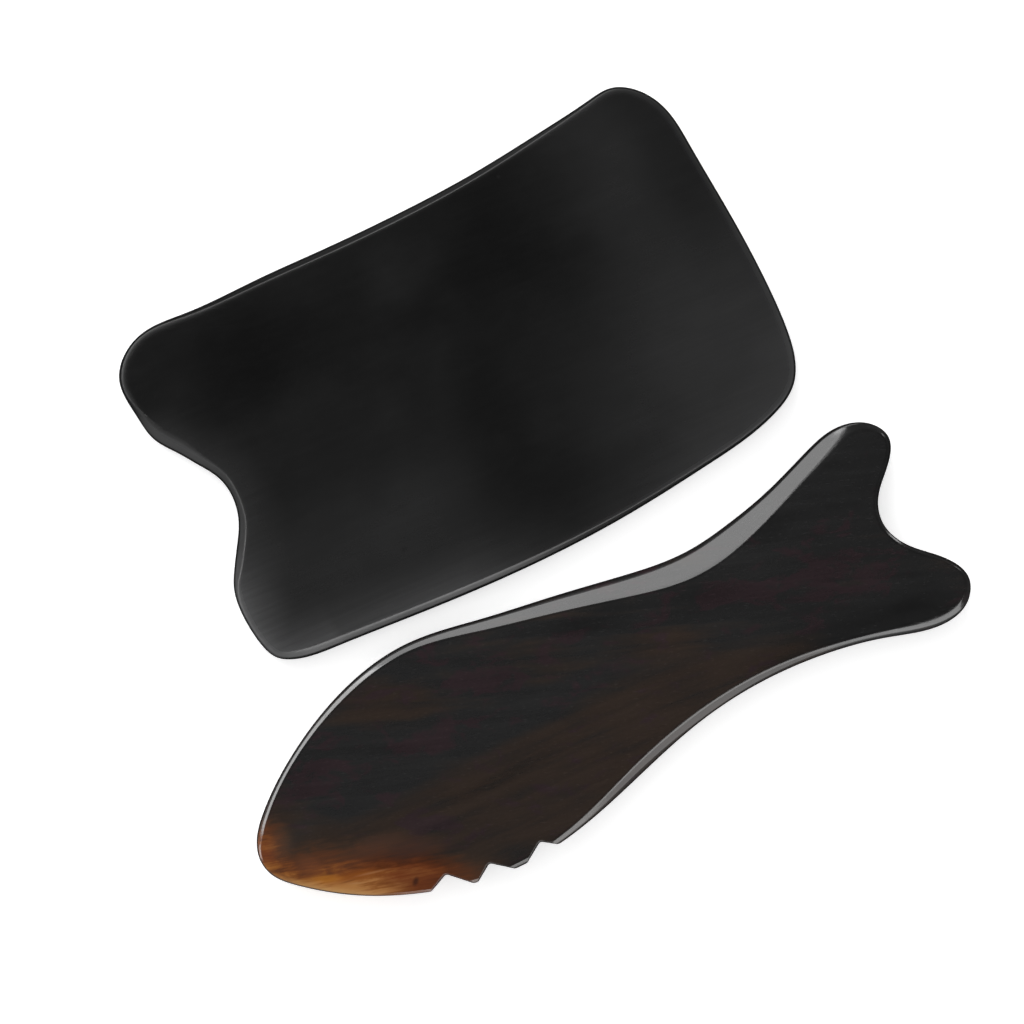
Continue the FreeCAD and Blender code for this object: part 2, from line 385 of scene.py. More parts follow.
class Slab:
    """A scraper's outline, the walls of its notches, and how its faces fall towards the edge."""

    def __init__(self, rows, notches, thickness, shoulder_fall, dome, dome_reach, roll):
        stations = closed_spline(rows, STATION)
        self.outline = stations[:, :2]
        self.columns = stations[:, 2:]
        self.thickness = thickness
        self.shoulder_fall = shoulder_fall
        self.dome = dome
        self.dome_reach = dome_reach
        self.roll = roll
        self.edge = self.outline
        if notches:
            self.edge = round_tips(notched(self.outline, notches), TOOTH_TIP)
        self.border = self.edge + inward_of(self.edge) * CROWN
        paths = [notch_path(notch) for notch in notches]
        self.walls = [path[inside(path, self.outline)] for path in paths]

    def section(self, points):
        """How far a face lies below the slab's top, the distance in, and the rim's distance in."""
        distance = nearest(points, self.outline)[0]
        mixed, away = averaged(points, self.outline, self.columns)
        shoulder, rim, soft, fall = mixed.T
        shoulder, rim, soft = trimmed(shoulder, rim, soft)
        depth = fall * (rim - shoulder)
        most = MOST_DEPTH * self.thickness
        depth = LEAST_DEPTH + soft_ramp(depth - LEAST_DEPTH, 0.04)
        depth = most - soft_ramp(most - depth, 0.1)
        bevel = depth / (rim - shoulder) * soft_ramp(rim - distance, soft)
        # The shoulder turns over in a curve, which takes the place of the bevel's straight line.
        knee = depth + self.shoulder_fall * shoulder
        foot = knee + FOOT_FALL * shoulder
        width = shoulder - CROWN
        across = np.clip(width - soft_ramp(shoulder - distance, 0.06), 0, width)
        u = 1 - np.sqrt(across / width)
        curve = depth * (1 - u) ** 2 + 2 * knee * u * (1 - u) + foot * u ** 2
        line = depth + depth / (rim - shoulder) * (width - across)
        drop = bevel + curve - line
        # The face is crowned, and rolls over to the bevel.
        t = np.clip((away - rim) / self.dome_reach, 0, 1)
        drop = drop + self.dome * (1 - t) ** 3
        drop = drop + self.roll * (1 - np.clip((distance - rim) / ROLL_REACH, 0, 1)) ** 2
        # The corners of the notches are broken, and rounded next to the wall.
        for wall in self.walls:
            gap = nearest(points, wall, closed=False)[0]
            broken = soft_ramp(NOTCH_BREAK - gap, 0.1)
            inner = np.clip(gap - CROWN, 0, WALL_ROUND) / WALL_ROUND
            broken = broken + WALL_ROUND_DEPTH * (1 - np.sqrt(1 - (1 - inner) ** 2))
            drop = np.maximum(drop, broken)
        return drop, distance, rim

    def to_walls(self, points):
        """Distance to the nearest notch wall, without limit where there is none."""
        gaps = [nearest(points, wall, closed=False)[0] for wall in self.walls]
        return np.min([np.full(len(points), np.inf)] + gaps, 0)

    def insets(self):
        """How far in each ring lies, one value per station, from the edge to the face."""
        shoulder, rim, soft = trimmed(*self.columns[:, :3].T)
        start = shoulder + 0.08
        length = np.maximum(rim - soft - start, 0.02)
        made = [CROWN + (shoulder - CROWN) * s for s in SHOULDER_SHARES]
        made += [shoulder + s for s in SHOULDER_STEPS]
        made += [start + length * s for s in BEVEL_SHARES]
        made += [rim + soft * s for s in RIM_SHARES]
        made += [rim + soft + s for s in FACE_STEPS]
        return made


class Net:
    """Points within a border, and the edges that join them."""

    def __init__(self, border):
        self.border = border
        self.points = list(border)
        self.edges = [(i, (i + 1) % len(border)) for i in range(len(border))]

    def add(self, ring, keep, closed=True):
        """Takes in the kept points of a ring, and joins kept neighbours."""
        index = np.full(len(ring), -1)
        index[keep] = len(self.points) + np.arange(keep.sum())
        self.points.extend(ring[keep])
        for i in range(len(ring) if closed else len(ring) - 1):
            j = (i + 1) % len(ring)
            if keep[i] and keep[j]:
                self.edges.append((index[i], index[j]))

    def triangles(self):
        """The points in use, and the triangles through them, all counter-clockwise."""
        flat, _, triangles = delaunay_2d_cdt(
            [Vector(p) for p in self.points], [(int(a), int(b)) for a, b in self.edges],
            [list(range(len(self.border)))], 1, 1e-5, False)[:3]
        flat = np.array([tuple(v) for v in flat])
        triangles = np.array(triangles)
        triangles = triangles[inside(flat[triangles].mean(1), self.border)]
        used = np.unique(triangles)
        renumber = np.full(len(flat), -1)
        renumber[used] = np.arange(len(used))
        flat = flat[used]
        triangles = renumber[triangles]
        a, b, c = (flat[triangles[:, k]] for k in range(3))
        turn = (b - a)[:, 0] * (c - a)[:, 1] - (b - a)[:, 1] * (c - a)[:, 0]
        triangles[turn < 0] = triangles[turn < 0][:, ::-1]
        return flat, triangles


def keeps_off(ring, path, inset, closed=True):
    """True where a ring lies as far from its path as it should, so isn't folded over."""
    return nearest(ring, path, closed)[0] > inset * 0.985 - 0.004


def net_of(slab):
    """The net of a face: rings along the outline and the notch walls, and a loose grid."""
    net = Net(slab.border)
    inward = inward_of(slab.outline)
    least = np.zeros(len(slab.outline))
    for inset in slab.insets():
        inset = np.maximum(inset, least)
        least = inset + RING_GAP
        ring = slab.outline + inward * inset[:, None]
        keep = keeps_off(ring, slab.outline, inset)
        if slab.walls:
            keep &= inside(ring, slab.border)
            keep &= nearest(ring, slab.border)[0] > RING_OFF_BORDER
        net.add(ring, keep)
    for wall in slab.walls:
        towards = inward_of(wall, closed=False)
        middle = len(wall) // 2
        probe = wall[middle] - 0.3 * towards[middle]
        side = -1 if inside(probe[None], slab.border)[0] else 1
        for inset in NOTCH_STEPS:
            ring = wall + side * towards * inset
            keep = keeps_off(ring, wall, inset, closed=False)
            keep &= inside(ring, slab.border)
            keep &= nearest(ring, slab.border)[0] > WALL_RING_OFF_BORDER
            net.add(ring, keep, closed=False)

    low, high = slab.edge.min(0), slab.edge.max(0)
    grid = []
    for row, y in enumerate(np.arange(low[1], high[1], FACE_ROW)):
        x = np.arange(low[0], high[0], FACE_PITCH) + (row % 2) * FACE_PITCH / 2
        grid.append(np.stack([x, np.full(len(x), y)], 1))
    grid = np.concatenate(grid)
    grid = grid[inside(grid, slab.border)]
    _, distance, rim = slab.section(grid)
    grid = grid[distance > rim + CLEAR_OF_RIM]
    net.points.extend(grid[slab.to_walls(grid) > CLEAR_OF_WALL])
    return net


def unevenness(flat, waves, shift):
    """The height of the waves at each point, never negative."""
    total = np.zeros(len(flat))
    for size, length, heading, phase in waves:
        along = flat[:, 0] * math.cos(heading) + flat[:, 1] * math.sin(heading)
        total += size * (1 + np.sin(2 * math.pi * along / length + phase + shift)) / 2
    return total


def rim_loop(triangles, name):
    """The points round the border of the triangles, in order."""
    pairs = [(int(t[k]), int(t[(k + 1) % 3])) for t in triangles for k in range(3)]
    known = set(pairs)
    rim_pairs = [(a, b) for a, b in pairs if (b, a) not in known]
    follow = dict(rim_pairs)
    start = rim_pairs[0][0]
    loop = [start]
    while follow[loop[-1]] != start:
        loop.append(follow[loop[-1]])
    if len(loop) != len(rim_pairs):
        raise SystemExit(name + ": the border isn't one loop")
    return np.array(loop)


def edge_rows(upper, lower, thickness):
    """Rows of points that join two borders by way of the swollen outline at mid-height."""
    outward = inward_of(upper[:, :2])
    rows = []
    for level in range(1, 2 * EDGE_LEVELS):
        below = level > EDGE_LEVELS
        share = level / EDGE_LEVELS
        share = 2 - share if below else share
        swell = SWELL_SHARE * CROWN * math.sin(share * math.pi / 2)
        z_from = lower[:, 2] if below else upper[:, 2]
        z = z_from + (thickness / 2 - z_from) * (1 - math.cos(share * math.pi / 2))
        rows.append(np.column_stack([upper[:, :2] + outward * swell, z]))
    return rows


def scraper(name, slab, waves):
    """A slab as a closed mesh, with its points' distances from the edge and the rim."""
    flat, triangles = net_of(slab).triangles()
    count = len(flat)
    drop, distance, rim = slab.section(flat)
    top = np.column_stack([flat, slab.thickness - drop - unevenness(flat, waves, 0.0)])
    bottom = np.column_stack([flat, drop + unevenness(flat, waves, UNDERSIDE_SHIFT)])
    loop = rim_loop(triangles, name)
    rows = edge_rows(top[loop], bottom[loop], slab.thickness)
    vertices = np.concatenate([top, bottom] + rows)
    faces = [tuple(t) for t in triangles.tolist()]
    faces += [tuple(t[::-1]) for t in (triangles + count).tolist()]
    chain = [loop]
    chain += [2 * count + i * len(loop) + np.arange(len(loop)) for i in range(len(rows))]
    chain.append(loop + count)
    for upper, lower in zip(chain, chain[1:]):
        for i in range(len(loop)):
            j = (i + 1) % len(loop)
            faces.append((int(upper[j]), int(upper[i]), int(lower[i]), int(lower[j])))
    mesh = bpy.data.meshes.new(name)
    mesh.from_pydata((vertices * MM).tolist(), [], faces)
    mesh.update()
    inset = np.minimum(distance, slab.to_walls(flat))
    on_edge = np.full(len(loop) * len(rows), -1.0)
    for key, value in (("inset", inset), ("border", distance - rim)):
        column = np.concatenate([value, value, on_edge])
        attribute = mesh.attributes.new(key, "FLOAT", "POINT")
        attribute.data.foreach_set("value", column.astype(np.float32))
    mesh.polygons.foreach_set("use_smooth", np.ones(len(mesh.polygons), bool))
    piece = bpy.data.objects.new(name, mesh)
    bpy.context.scene.collection.objects.link(piece)
    print(name, len(vertices), "vertices", len(faces), "faces")
    return piece


plate_slab = Slab(
    PLATE_OUTLINE, (), thickness=5.0, shoulder_fall=1.8, dome=0.16, dome_reach=13.0, roll=0.05)
plate = scraper("plate", plate_slab, PLATE_WAVES)
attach(plate, "plate")
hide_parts("plate_scraper")

fish_slab = Slab(
    FISH_OUTLINE, FISH_NOTCHES, thickness=7.0, shoulder_fall=0.9, dome=0.14, dome_reach=7.5, roll=0.0)
fish = scraper("fish", fish_slab, FISH_WAVES)
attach(fish, "fish")
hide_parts("fish_scraper")


# ---- Materials ----

def grey(value):
    return (value, value, value)


class Graph:
    """Short ways to add and join shader nodes."""

    def __init__(self, tree):
        self.tree = tree
        tree.nodes.clear()

    def node(self, kind, **settings):
        made = self.tree.nodes.new(kind)
        for key, value in settings.items():
            setattr(made, key, value)
        return made

    def plug(self, value, socket):
        if isinstance(value, bpy.types.NodeSocket):
            self.tree.links.new(value, socket)
        elif value is not None:
            socket.default_value = value

    def math(self, operation, a, b=None, c=None, clamp=False):
        made = self.node("ShaderNodeMath", operation=operation, use_clamp=clamp)
        for value, socket in zip((a, b, c), made.inputs):
            self.plug(value, socket)
        return made.outputs[0]

    def span(self, value, low, high, to_low=0.0, to_high=1.0):
        """Smooth step from to_low to to_high as the value goes from low to high."""
        made = self.node("ShaderNodeMapRange", interpolation_type="SMOOTHSTEP")
        self.plug(value, made.inputs["Value"])
        for name, number in (("From Min", low), ("From Max", high),
                             ("To Min", to_low), ("To Max", to_high)):
            made.inputs[name].default_value = number
        return made.outputs[0]

    def place(self, scale, turn=0.0, shift=(0, 0, 0)):
        """Object coordinates in millimetres, turned about Z and scaled."""
        coordinates = self.node("ShaderNodeTexCoord").outputs["Object"]
        turned = self.node("ShaderNodeVectorRotate", rotation_type="Z_AXIS")
        self.plug(coordinates, turned.inputs["Vector"])
        turned.inputs["Angle"].default_value = math.radians(turn)
        scaled = self.node("ShaderNodeVectorMath", operation="MULTIPLY_ADD")
        self.plug(turned.outputs[0], scaled.inputs[0])
        scaled.inputs[1].default_value = [1000 * s for s in scale]
        scaled.inputs[2].default_value = shift
        return scaled.outputs[0]

    def xyz(self):
        """Object coordinates in millimetres, one by one."""
        split = self.node("ShaderNodeSeparateXYZ")
        self.plug(self.place((1, 1, 1)), split.inputs[0])
        return split.outputs

    def attribute(self, name):
        return self.node("ShaderNodeAttribute", attribute_name=name).outputs["Fac"]

    def product(self, first, *others):
        """All the values multiplied together."""
        for other in others:
            first = self.math("MULTIPLY", first, other)
        return first

    def vary(self, value, rows):
        """The value plus each noise about its middle, times its amount."""
        for noise, amount in rows:
            value = self.math("MULTIPLY_ADD", self.math("SUBTRACT", noise, 0.5), amount, value)
        return value

    def noise(self, where, detail=2.0, roughness=0.5, distortion=0.0):
        made = self.node("ShaderNodeTexNoise")
        self.plug(where, made.inputs["Vector"])
        made.inputs["Scale"].default_value = 1.0
        made.inputs["Detail"].default_value = detail
        made.inputs["Roughness"].default_value = roughness
        made.inputs["Distortion"].default_value = distortion
        return made.outputs["Fac"]

    def mix(self, share, first, second):
        made = self.node("ShaderNodeMix", data_type="RGBA")
        self.plug(share, made.inputs["Factor"])
        for value, socket in ((first, made.inputs[6]), (second, made.inputs[7])):
            self.plug(value if isinstance(value, bpy.types.NodeSocket) else (*value, 1), socket)
        return made.outputs[2]

    def ramp(self, value, stops):
        made = self.node("ShaderNodeValToRGB")
        self.plug(value, made.inputs[0])
        elements = made.color_ramp.elements
        while len(elements) < len(stops):
            elements.new(0.5)
        for element, (at, colour) in zip(elements, stops):
            element.position = at
            element.color = (*colour, 1)
        return made.outputs[0]

    def spot(self, x, y, inner, outer, long=1.0, turn=0.0):
        """1 within the inner radius of a point, in millimetres, falling to 0 at the outer."""
        where = self.node("ShaderNodeVectorMath", operation="SUBTRACT")
        self.plug(self.place((1, 1, 0)), where.inputs[0])
        where.inputs[1].default_value = (x, y, 0)
        turned = self.node("ShaderNodeVectorRotate", rotation_type="Z_AXIS")
        self.plug(where.outputs[0], turned.inputs["Vector"])
        turned.inputs["Angle"].default_value = math.radians(-turn)
        squeezed = self.node("ShaderNodeVectorMath", operation="MULTIPLY")
        self.plug(turned.outputs[0], squeezed.inputs[0])
        squeezed.inputs[1].default_value = (1 / long, 1, 0)
        size = self.node("ShaderNodeVectorMath", operation="LENGTH")
        self.plug(squeezed.outputs[0], size.inputs[0])
        return self.span(size.outputs["Value"], inner, outer, 1.0, 0.0)

    def spots(self, value, rows):
        """The value plus soft spots: x, y, inner and outer radius, length, turn and amount."""
        for *spot, amount in rows:
            value = self.math("MULTIPLY_ADD", self.spot(*spot), amount, value)
        return value


def horn(name):
    """A new material, its graph and its shader."""
    material = bpy.data.materials.new(name)
    material.use_nodes = True
    graph = Graph(material.node_tree)
    shader = graph.node("ShaderNodeBsdfPrincipled")
    shader.inputs["IOR"].default_value = 1.54
    output = graph.node("ShaderNodeOutputMaterial")
    graph.plug(shader.outputs[0], output.inputs[0])
    return material, graph, shader


def polish(graph, shader, base_roughness, edge_roughness, edge_reach):
    """Roughness and bump of hand-polished horn: haze, fine scratches and duller ground edges."""
    inset = graph.attribute("inset")
    haze = graph.noise(graph.place((0.09, 0.12, 0.1)), 3.0)
    fine = graph.noise(graph.place((0.5, 2.4, 1.5), 8), 3.0, 0.6)
    one_way = graph.noise(graph.place((0.06, 7.0, 1.0), 24), 2.0)
    other_way = graph.noise(graph.place((0.08, 9.0, 1.0), -38), 2.0)
    scratches = graph.math(
        "MAXIMUM", graph.span(one_way, 0.66, 0.74), graph.span(other_way, 0.67, 0.75))
    rough = graph.math("MULTIPLY_ADD", haze, 0.10, base_roughness - 0.05)
    rough = graph.math("MULTIPLY_ADD", fine, 0.06, graph.math("SUBTRACT", rough, 0.03))
    rough = graph.math("MULTIPLY_ADD", scratches, 0.05, rough)
    ground = graph.span(inset, 0.1, edge_reach, edge_roughness, 0.0)
    ground = graph.product(ground, graph.span(inset, 0.22, 0.5, 0.15, 1.0))
    rough = graph.math("ADD", rough, ground, clamp=True)
    graph.plug(rough, shader.inputs["Roughness"])
    height = graph.math("MULTIPLY_ADD", scratches, -0.3, graph.product(fine, 0.7))
    bump = graph.node("ShaderNodeBump")
    bump.inputs["Strength"].default_value = 0.25
    bump.inputs["Distance"].default_value = 0.00002
    graph.plug(height, bump.inputs["Height"])
    graph.plug(bump.outputs[0], shader.inputs["Normal"])
    return inset


# Each noise: scale, turn, shift, detail, roughness and distortion.
PLATE_NOISES = {
    "clouds": ((0.05, 0.07, 0.05), 20, (0, 0, 0), 2.0, 0.5, 0.6),
    "small": ((0.16, 0.2, 0.1), 10, (3, 1, 0), 3.0, 0.5, 0.0),
    "fibre": ((0.05, 1.1, 0.4), 4, (0, 0, 0), 4.0, 0.65, 0.0),
    "grain": ((2.2, 3.0, 1.0), 4, (0, 0, 0), 2.0, 0.5, 0.0),
}
FISH_NOISES = {
    "patches": ((0.08, 0.20, 0.1), 18, (0, 0, 0), 3.0, 0.55, 0.4),
    "hues": ((0.15, 0.30, 0.1), 18, (7, 2, 0), 4.0, 0.62, 0.6),
    "streak_above": ((0.04, 0.5, 0.3), 23, (0, 0, 0), 4.0, 0.6, 0.4),
    "streak_below": ((0.03, 0.5, 0.3), 4, (0, 5, 0), 4.0, 0.6, 0.4),
    "fine": ((0.10, 2.4, 1.2), 18, (0, 0, 0), 4.0, 0.65, 0.0),
    "grain": ((1.3, 2.2, 1.0), 15, (0, 0, 0), 2.0, 0.6, 0.0),
    "flecks": ((0.9, 3.2, 1.0), 21, (2, 4, 0), 1.0, 0.5, 0.0),
    "mottle": ((0.25, 0.60, 0.5), 20, (1, 6, 0), 4.0, 0.6, 0.5),
    "strands": ((0.10, 1.1, 0.5), 15, (3, 3, 0), 4.0, 0.6, 0.3),
}


def noises(graph, table):
    """The noises of a table, by name."""
    made = {}
    for name, (scale, turn, shift, detail, roughness, distortion) in table.items():
        where = graph.place(scale, turn, shift)
        made[name] = graph.noise(where, detail, roughness, distortion)
    return SimpleNamespace(**made)


def plate_material():
    """Black horn with faint grey clouds and fibres, painted lighter to the right as a reflection, hazy
    with painted sheen at its left edges, and painted darker at the very edge.
    """
    material, graph, shader = horn("plate_horn")
    inset = polish(graph, shader, 0.20, 0.28, 2.0)
    x, y, _ = graph.xyz()
    noise = noises(graph, PLATE_NOISES)

    # Even tone first, a painted reflection: lighter to the right, most of all low down, and a little to
    # the lower left.
    tone = graph.math("ADD", graph.span(x, 24, 42, 0.235, 0.365), graph.span(x, 44, 51, 0.0, -0.05))
    low = graph.math("SUBTRACT", graph.span(x, 2, 46, 0.235, 0.49), tone)
    for across, upward in (
            (low, graph.span(y, 34, 9)),
            (graph.span(x, 5, -14), graph.span(y, 21, 5, 0.0, 0.13)),
            (graph.span(x, 10, -2), graph.span(y, 38, 29, 0.0, 0.04))):
        tone = graph.math("ADD", tone, graph.product(across, upward))
    tone = graph.spots(tone, (
        (-27, 43, 3, 12, 1.3, 20, -0.055),
        (3, 44, 2, 8, 1.2, 0, 0.05),
        (19, 40, 3, 11, 1.3, 60, -0.035),
        (4, 13, 2, 9, 2.0, 75, -0.035),
        (42, 40, 2, 8, 1.8, 70, 0.02),
        (-45, 36, 1, 6, 1.5, -60, 0.06),
        (24.6, 49.9, 0.1, 0.45, 1.0, 0, 0.08),
        (-18.2, 1.6, 0.1, 0.60, 1.3, 20, -0.04)))
    tone = graph.vary(tone, (
        (noise.clouds, 0.08), (noise.small, 0.04), (noise.fibre, 0.06), (noise.grain, 0.03)))
    # Painted sheen that grows towards the left and lower edges, with the streaks of the grinding in it.
    sheen_near_edge = graph.math("POWER", graph.math("MULTIPLY_ADD", inset, -0.1, 1.0, clamp=True), 1.5)
    left = graph.math("ADD", graph.span(y, 43, 36, 0.0, 0.20), graph.span(y, 15, 5, 0.0, 0.28))
    left = graph.product(left, graph.span(x, -30, -36))
    lower_sheen = graph.product(graph.span(x, 14, -20, 0.10, 0.36), graph.span(y, 12, -1))
    streaks = graph.math("MULTIPLY_ADD", noise.fibre, 0.5, 0.78)
    haze = graph.product(sheen_near_edge, graph.math("MAXIMUM", left, lower_sheen), streaks)
    tone = graph.math("ADD", tone, haze)
    # Painted shade: the colour is darker along the outermost edge.
    tone = graph.math("MULTIPLY", tone, graph.span(inset, 0.25, 0.6, 0.45, 1.0), clamp=True)
    # The tone is how light the horn looks; the ramp gives the colour for it.
    colour = graph.ramp(tone, (
        (0.15, (0.0008, 0.0008, 0.0008)),
        (0.20, (0.0027, 0.0027, 0.0027)),
        (0.25, (0.0052, 0.0052, 0.0052)),
        (0.30, (0.0082, 0.0082, 0.0082)),
        (0.40, (0.0158, 0.0158, 0.0159)),
        (0.50, (0.0254, 0.0254, 0.0257)),
        (0.60, (0.0375, 0.0375, 0.0380)),
        (0.70, (0.0520, 0.0520, 0.0530)),
        (1.00, (0.1120, 0.1120, 0.1140)),
    ))
    graph.plug(colour, shader.inputs["Base Color"])
    return material


def dark_horn(graph, x, y, border, noise):
    """The fish's dark colour: neutral above, brown over the belly, with wine-red patches."""
    # The belly half, whose upper boundary wavers and which ends before the tail.
    wavering = graph.vary(y, ((noise.patches, 7.0),))
    wavering = graph.math("MULTIPLY_ADD", graph.span(x, 4, 46), 9.0, wavering)
    belly = graph.product(graph.span(wavering, -31.5, -38), graph.span(x, 52, 30, 0.25, 1.0))
    back = graph.math("SUBTRACT", 1.0, belly)
    streak = graph.math(
        "ADD", graph.product(noise.streak_below, belly), graph.product(noise.streak_above, back))

    tone = graph.math("MULTIPLY_ADD", belly, 0.03, 0.41)
    tone = graph.vary(tone, (
        (noise.patches, 0.26), (streak, 0.40), (noise.fine, 0.15), (noise.grain, 0.16)))
    tone = graph.math("MULTIPLY_ADD", graph.span(noise.flecks, 0.62, 0.74), 0.20, tone)
    tone = graph.math("MULTIPLY_ADD", graph.span(x, 24, 44), -0.09, tone)
    tone = graph.spots(tone, (
        (5, -23.3, 0.6, 3.2, 4.0, -11, -0.16),
        (22, -28, 1, 5, 2.4, -8, -0.12),
        (37, -24, 0.6, 3, 2.5, 10, -0.10),
        (-22, -39.8, 0.3, 1.8, 8.0, -2, -0.10),
        (34, -44, 1, 4, 4.0, -4, -0.14),
        (53, -47, 1, 6, 2.2, -20, -0.12),
        (-57.5, -34, 1, 6, 1.5, 40, 0.14),
        (-50, -24, 1, 4, 2.0, 32, -0.06)))
    # Painted shade: darker along the rim, where face and bevel meet.
    crease_shade = graph.span(graph.math("ABSOLUTE", border), 0.1, 0.55)
    crease_shade = graph.math("SUBTRACT", 1.0, crease_shade)
    tone = graph.math("MULTIPLY_ADD", crease_shade, -0.16, tone, clamp=True)
    neutral = graph.ramp(tone, (
        (0.0, (0.0045, 0.0045, 0.0045)),
        (0.4, (0.0160, 0.0160, 0.0162)),
        (0.7, (0.0265, 0.0262, 0.0262)),
        (1.0, (0.0460, 0.0440, 0.0420)),
    ))
    brown = graph.ramp(tone, (
        (0.0, (0.0075, 0.0056, 0.0045)),
        (0.4, (0.0270, 0.0175, 0.0128)),
        (0.7, (0.0400, 0.0270, 0.0200)),
        (1.0, (0.0680, 0.0460, 0.0340)),
    ))
    wine = graph.ramp(tone, (
        (0.0, (0.0070, 0.0045, 0.0050)),
        (0.4, (0.0262, 0.0150, 0.0180)),
        (0.7, (0.0385, 0.0235, 0.0270)),
        (1.0, (0.0620, 0.0420, 0.0430)),
    ))

    # Brown over the belly half and in streaks above it.
    browner = graph.math("MULTIPLY_ADD", belly, 0.62, 0.04)
    browner = graph.vary(browner, ((noise.patches, 1.2), (streak, 1.2)))
    browner = graph.spots(browner, (
        (-33, -20, 2, 6, 2.4, -24, 0.50),
        (-8, -25, 2, 5, 2.4, -24, 0.30),
        (12, -31.5, 1, 5, 2.6, -24, 0.40),
        (-57, -28, 1, 5, 2.2, 35, 0.35),
        (-56, -34, 2, 7, 1.6, 30, 0.35),
        (-42, -28, 3, 9, 2.0, -8, -0.40),
        (-14, -32, 1, 4, 4.5, -2, -0.35),
        (43, -22, 4, 12, 1.8, 10, -0.45),
        (48, -45, 2, 7, 2.4, -8, -0.55)))
    colour = graph.mix(graph.span(browner, 0.0, 0.75, 0.0, 0.95), neutral, brown)

    # Wine-red in scattered patches.
    redder = graph.vary(graph.product(belly, -0.15), ((noise.hues, 3.2),))
    redder = graph.spots(redder, (
        (-50, -25.5, 1, 6, 1.8, -15, 0.35),
        (-31, -28.5, 1, 5, 2.2, -10, 0.40),
        (-19, -23, 1, 5, 2.2, -24, 0.35),
        (-38, -43, 1, 6, 2.4, -20, 0.30),
        (27, -31, 1, 5, 1.8, -24, 0.35),
        (42, -36, 2, 6, 2.6, -16, 0.40),
        (44, -27.3, 0.5, 2.2, 2.6, 15, 0.45),
        (46, -20.5, 3, 8, 2.4, 12, -0.50),
        (60, -21, 1, 5, 1.0, 0, -0.45),
        (60.5, -42, 1.5, 5.5, 1.6, -45, -0.55),
        (48, -46, 2, 6, 2.4, -10, -0.60)))
    return graph.mix(graph.span(redder, 0.05, 0.45, 0.0, 0.85), colour, wine)


def amber_over(graph, colour, x, y, inset, noise):
    """The colour with amber over it at the snout and along the chin."""
    # Below a line from the snout to the first notch, by the distance from it.
    below = graph.math("MULTIPLY_ADD", y, -0.934, graph.math("MULTIPLY_ADD", x, -0.358, -57.4))
    below = graph.vary(below, (
        (noise.streak_above, 2.2), (noise.patches, 2.0), (noise.mottle, 2.2)))
    along = graph.ramp(graph.math("MULTIPLY_ADD", x, 1 / 40, 64 / 40), (
        (0.0, grey(0.56)),
        (0.15, grey(0.84)),
        (0.28, grey(1.0)),
        (0.40, grey(0.80)),
        (0.52, grey(0.62)),
        (0.60, grey(0.50)),
        (0.70, grey(0.32)),
        (0.85, grey(0.12)),
        (1.0, grey(0.0)),
    ))
    rise = graph.math(
        "ADD", graph.span(below, -8.0, -1.5, 0.0, 0.32), graph.span(below, -1.8, 1.9, 0.0, 0.68))
    amber = graph.product(rise, along)
    snout = graph.product(
        graph.span(inset, 8.0, 0.3),
        graph.span(x, -52, -61.0, 0.0, 0.60),
        graph.span(y, -26.5, -32.5, 0.15, 1.0),
        graph.vary(1.0, ((noise.mottle, 1.4),)))
    amber = graph.math("MAXIMUM", amber, snout)
    for variation, amount in ((noise.fine, 1.0), (noise.strands, 1.6), (noise.mottle, 0.8)):
        amber = graph.product(amber, graph.vary(1.0, ((variation, amount),)))
    gold = graph.ramp(amber, (
        (0.0, (0.018, 0.012, 0.009)),
        (0.12, (0.046, 0.025, 0.015)),
        (0.3, (0.092, 0.032, 0.013)),
        (0.5, (0.175, 0.054, 0.013)),
        (0.75, (0.290, 0.105, 0.021)),
        (1.0, (0.430, 0.190, 0.052)),
    ))
    rust = graph.ramp(amber, (
        (0.0, (0.014, 0.008, 0.006)),
        (0.12, (0.040, 0.014, 0.006)),
        (0.3, (0.088, 0.022, 0.005)),
        (0.5, (0.155, 0.040, 0.008)),
        (0.75, (0.250, 0.085, 0.018)),
        (1.0, (0.400, 0.170, 0.050)),
    ))
    gold = graph.mix(graph.spot(-43, -47.0, 2.5, 8.0, 1.6, -25), gold, rust)
    colour = graph.mix(graph.span(amber, 0.0, 0.20), colour, gold)
    # Painted glow: the thin edge along the chin is painted palest, as light through the thin amber
    # would make it.
    glow = graph.product(
        graph.span(inset, 1.5, 0.3), graph.spot(-54.5, -43.0, 2.5, 8.0, 1.5, -36), 0.65)
    return graph.mix(glow, colour, (0.55, 0.30, 0.11))


# Single marks and lines in the amber: x, y, inner and outer radius, length, turn, amount, colour.
AMBER_MARKS = (
    (-61.9, -33.0, 0.2, 2.0, 1.5, 80, 0.50, (0.170, 0.040, 0.014)),
    (-56.6, -37.8, 0.3, 2.4, 1.4, -40, 0.35, (0.190, 0.060, 0.022)),
    (-51.0, -43.1, 0.3, 1.5, 4.6, -16, 0.70, (0.250, 0.068, 0.008)),
    (-55.0, -41.4, 0.2, 1.0, 3.5, -24, 0.60, (0.420, 0.150, 0.014)),
    (-44.5, -46.4, 0.2, 1.3, 3.2, -28, 0.45, (0.190, 0.042, 0.008)),
    (-42, -48.6, 0.5, 4.0, 1.8, -28, 0.50, (0.115, 0.026, 0.008)),
    (-59.0, -32.8, 0.3, 3.0, 1.3, 60, 0.45, (0.078, 0.044, 0.028)),
    (-44.5, -40.6, 0.4, 2.8, 2.8, -12, 0.50, (0.076, 0.034, 0.021)),
    (-40.0, -43.6, 0.4, 2.4, 3.0, -14, 0.45, (0.062, 0.027, 0.020)),
    (-42, -48.6, 0.15, 0.7, 1.6, 40, 0.75, (0.030, 0.010, 0.006)),
    (-48, -43.9, 0.04, 0.30, 14.0, -14, 0.55, (0.340, 0.150, 0.055)),
    (-51, -44.3, 0.03, 0.22, 10.0, -22, 0.45, (0.400, 0.200, 0.080)),
    (-52, -43.4, 0.03, 0.25, 9.0, -11, 0.45, (0.130, 0.040, 0.010)),
)


